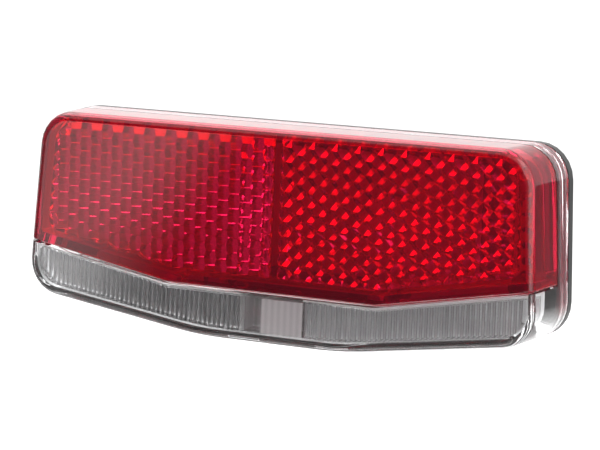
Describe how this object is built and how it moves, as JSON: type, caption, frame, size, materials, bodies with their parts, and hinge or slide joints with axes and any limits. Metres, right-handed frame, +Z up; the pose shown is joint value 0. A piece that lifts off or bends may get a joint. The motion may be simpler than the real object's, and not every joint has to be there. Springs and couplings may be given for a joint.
{
  "type": "bicycle rear light",
  "caption": "Wide carrier-mounted rear light: clear cover over a red prism reflector and a ribbed clear light strip, black rear housing with two fixing studs.",
  "frame": {"origin": "centre of the flat pad on the back, which bears on the carrier plate", "axes": "+X across the light, +Y out of its back towards the carrier, +Z up; the red face looks along -Y"},
  "size_m": [0.1044, 0.0396, 0.0384],
  "materials": {
    "black_plastic": "moulded, fine satin grain",
    "clear_plastic": "clear polished moulding",
    "red_plastic": "transparent red, polished",
    "silver_plastic": "light grey reflecting moulding",
    "rubber": "soft black rubber",
    "steel": "zinc plated",
    "nickel": "nickel plated brass",
    "foil_sleeve": "plain dark foil sleeve",
    "board_green": "green solder mask",
    "chip_black": "moulded black resin",
    "ceramic": "plain ceramic",
    "lamp_lens": "clear resin, tinted by its chip"
  },
  "bodies": {
    "light": {"rear_housing": "black_plastic", "front_cover": "clear_plastic", "cover_seal": "rubber", "reflector_panel": "red_plastic", "light_guide": "clear_plastic", "light_tray": "silver_plastic", "circuit_board": "board_green", "lamp": "lamp_lens", "driver_chip": "chip_black", "capacitor": "foil_sleeve", "standlight_capacitor": "foil_sleeve", "resistor_left": "ceramic", "resistor_right": "ceramic", "switch_body": "chip_black", "terminal_left": "nickel", "terminal_right": "nickel", "board_screw_left": "steel", "board_screw_right": "steel", "stud_left": "steel", "stud_right": "steel", "washer_left": "steel", "washer_right": "steel", "nut_left": "steel", "nut_right": "steel"},
    "button": {"power_button": "rubber", "switch_plunger": "ceramic"}
  },
  "joints": [
    {"name": "button_press", "type": "slide", "parent": "light", "child": "button", "axis": [0, 0, 1], "range_m": [0, 0.001], "stiffness_N_per_m": 1500, "springref_m": -0.0003}
  ]
}
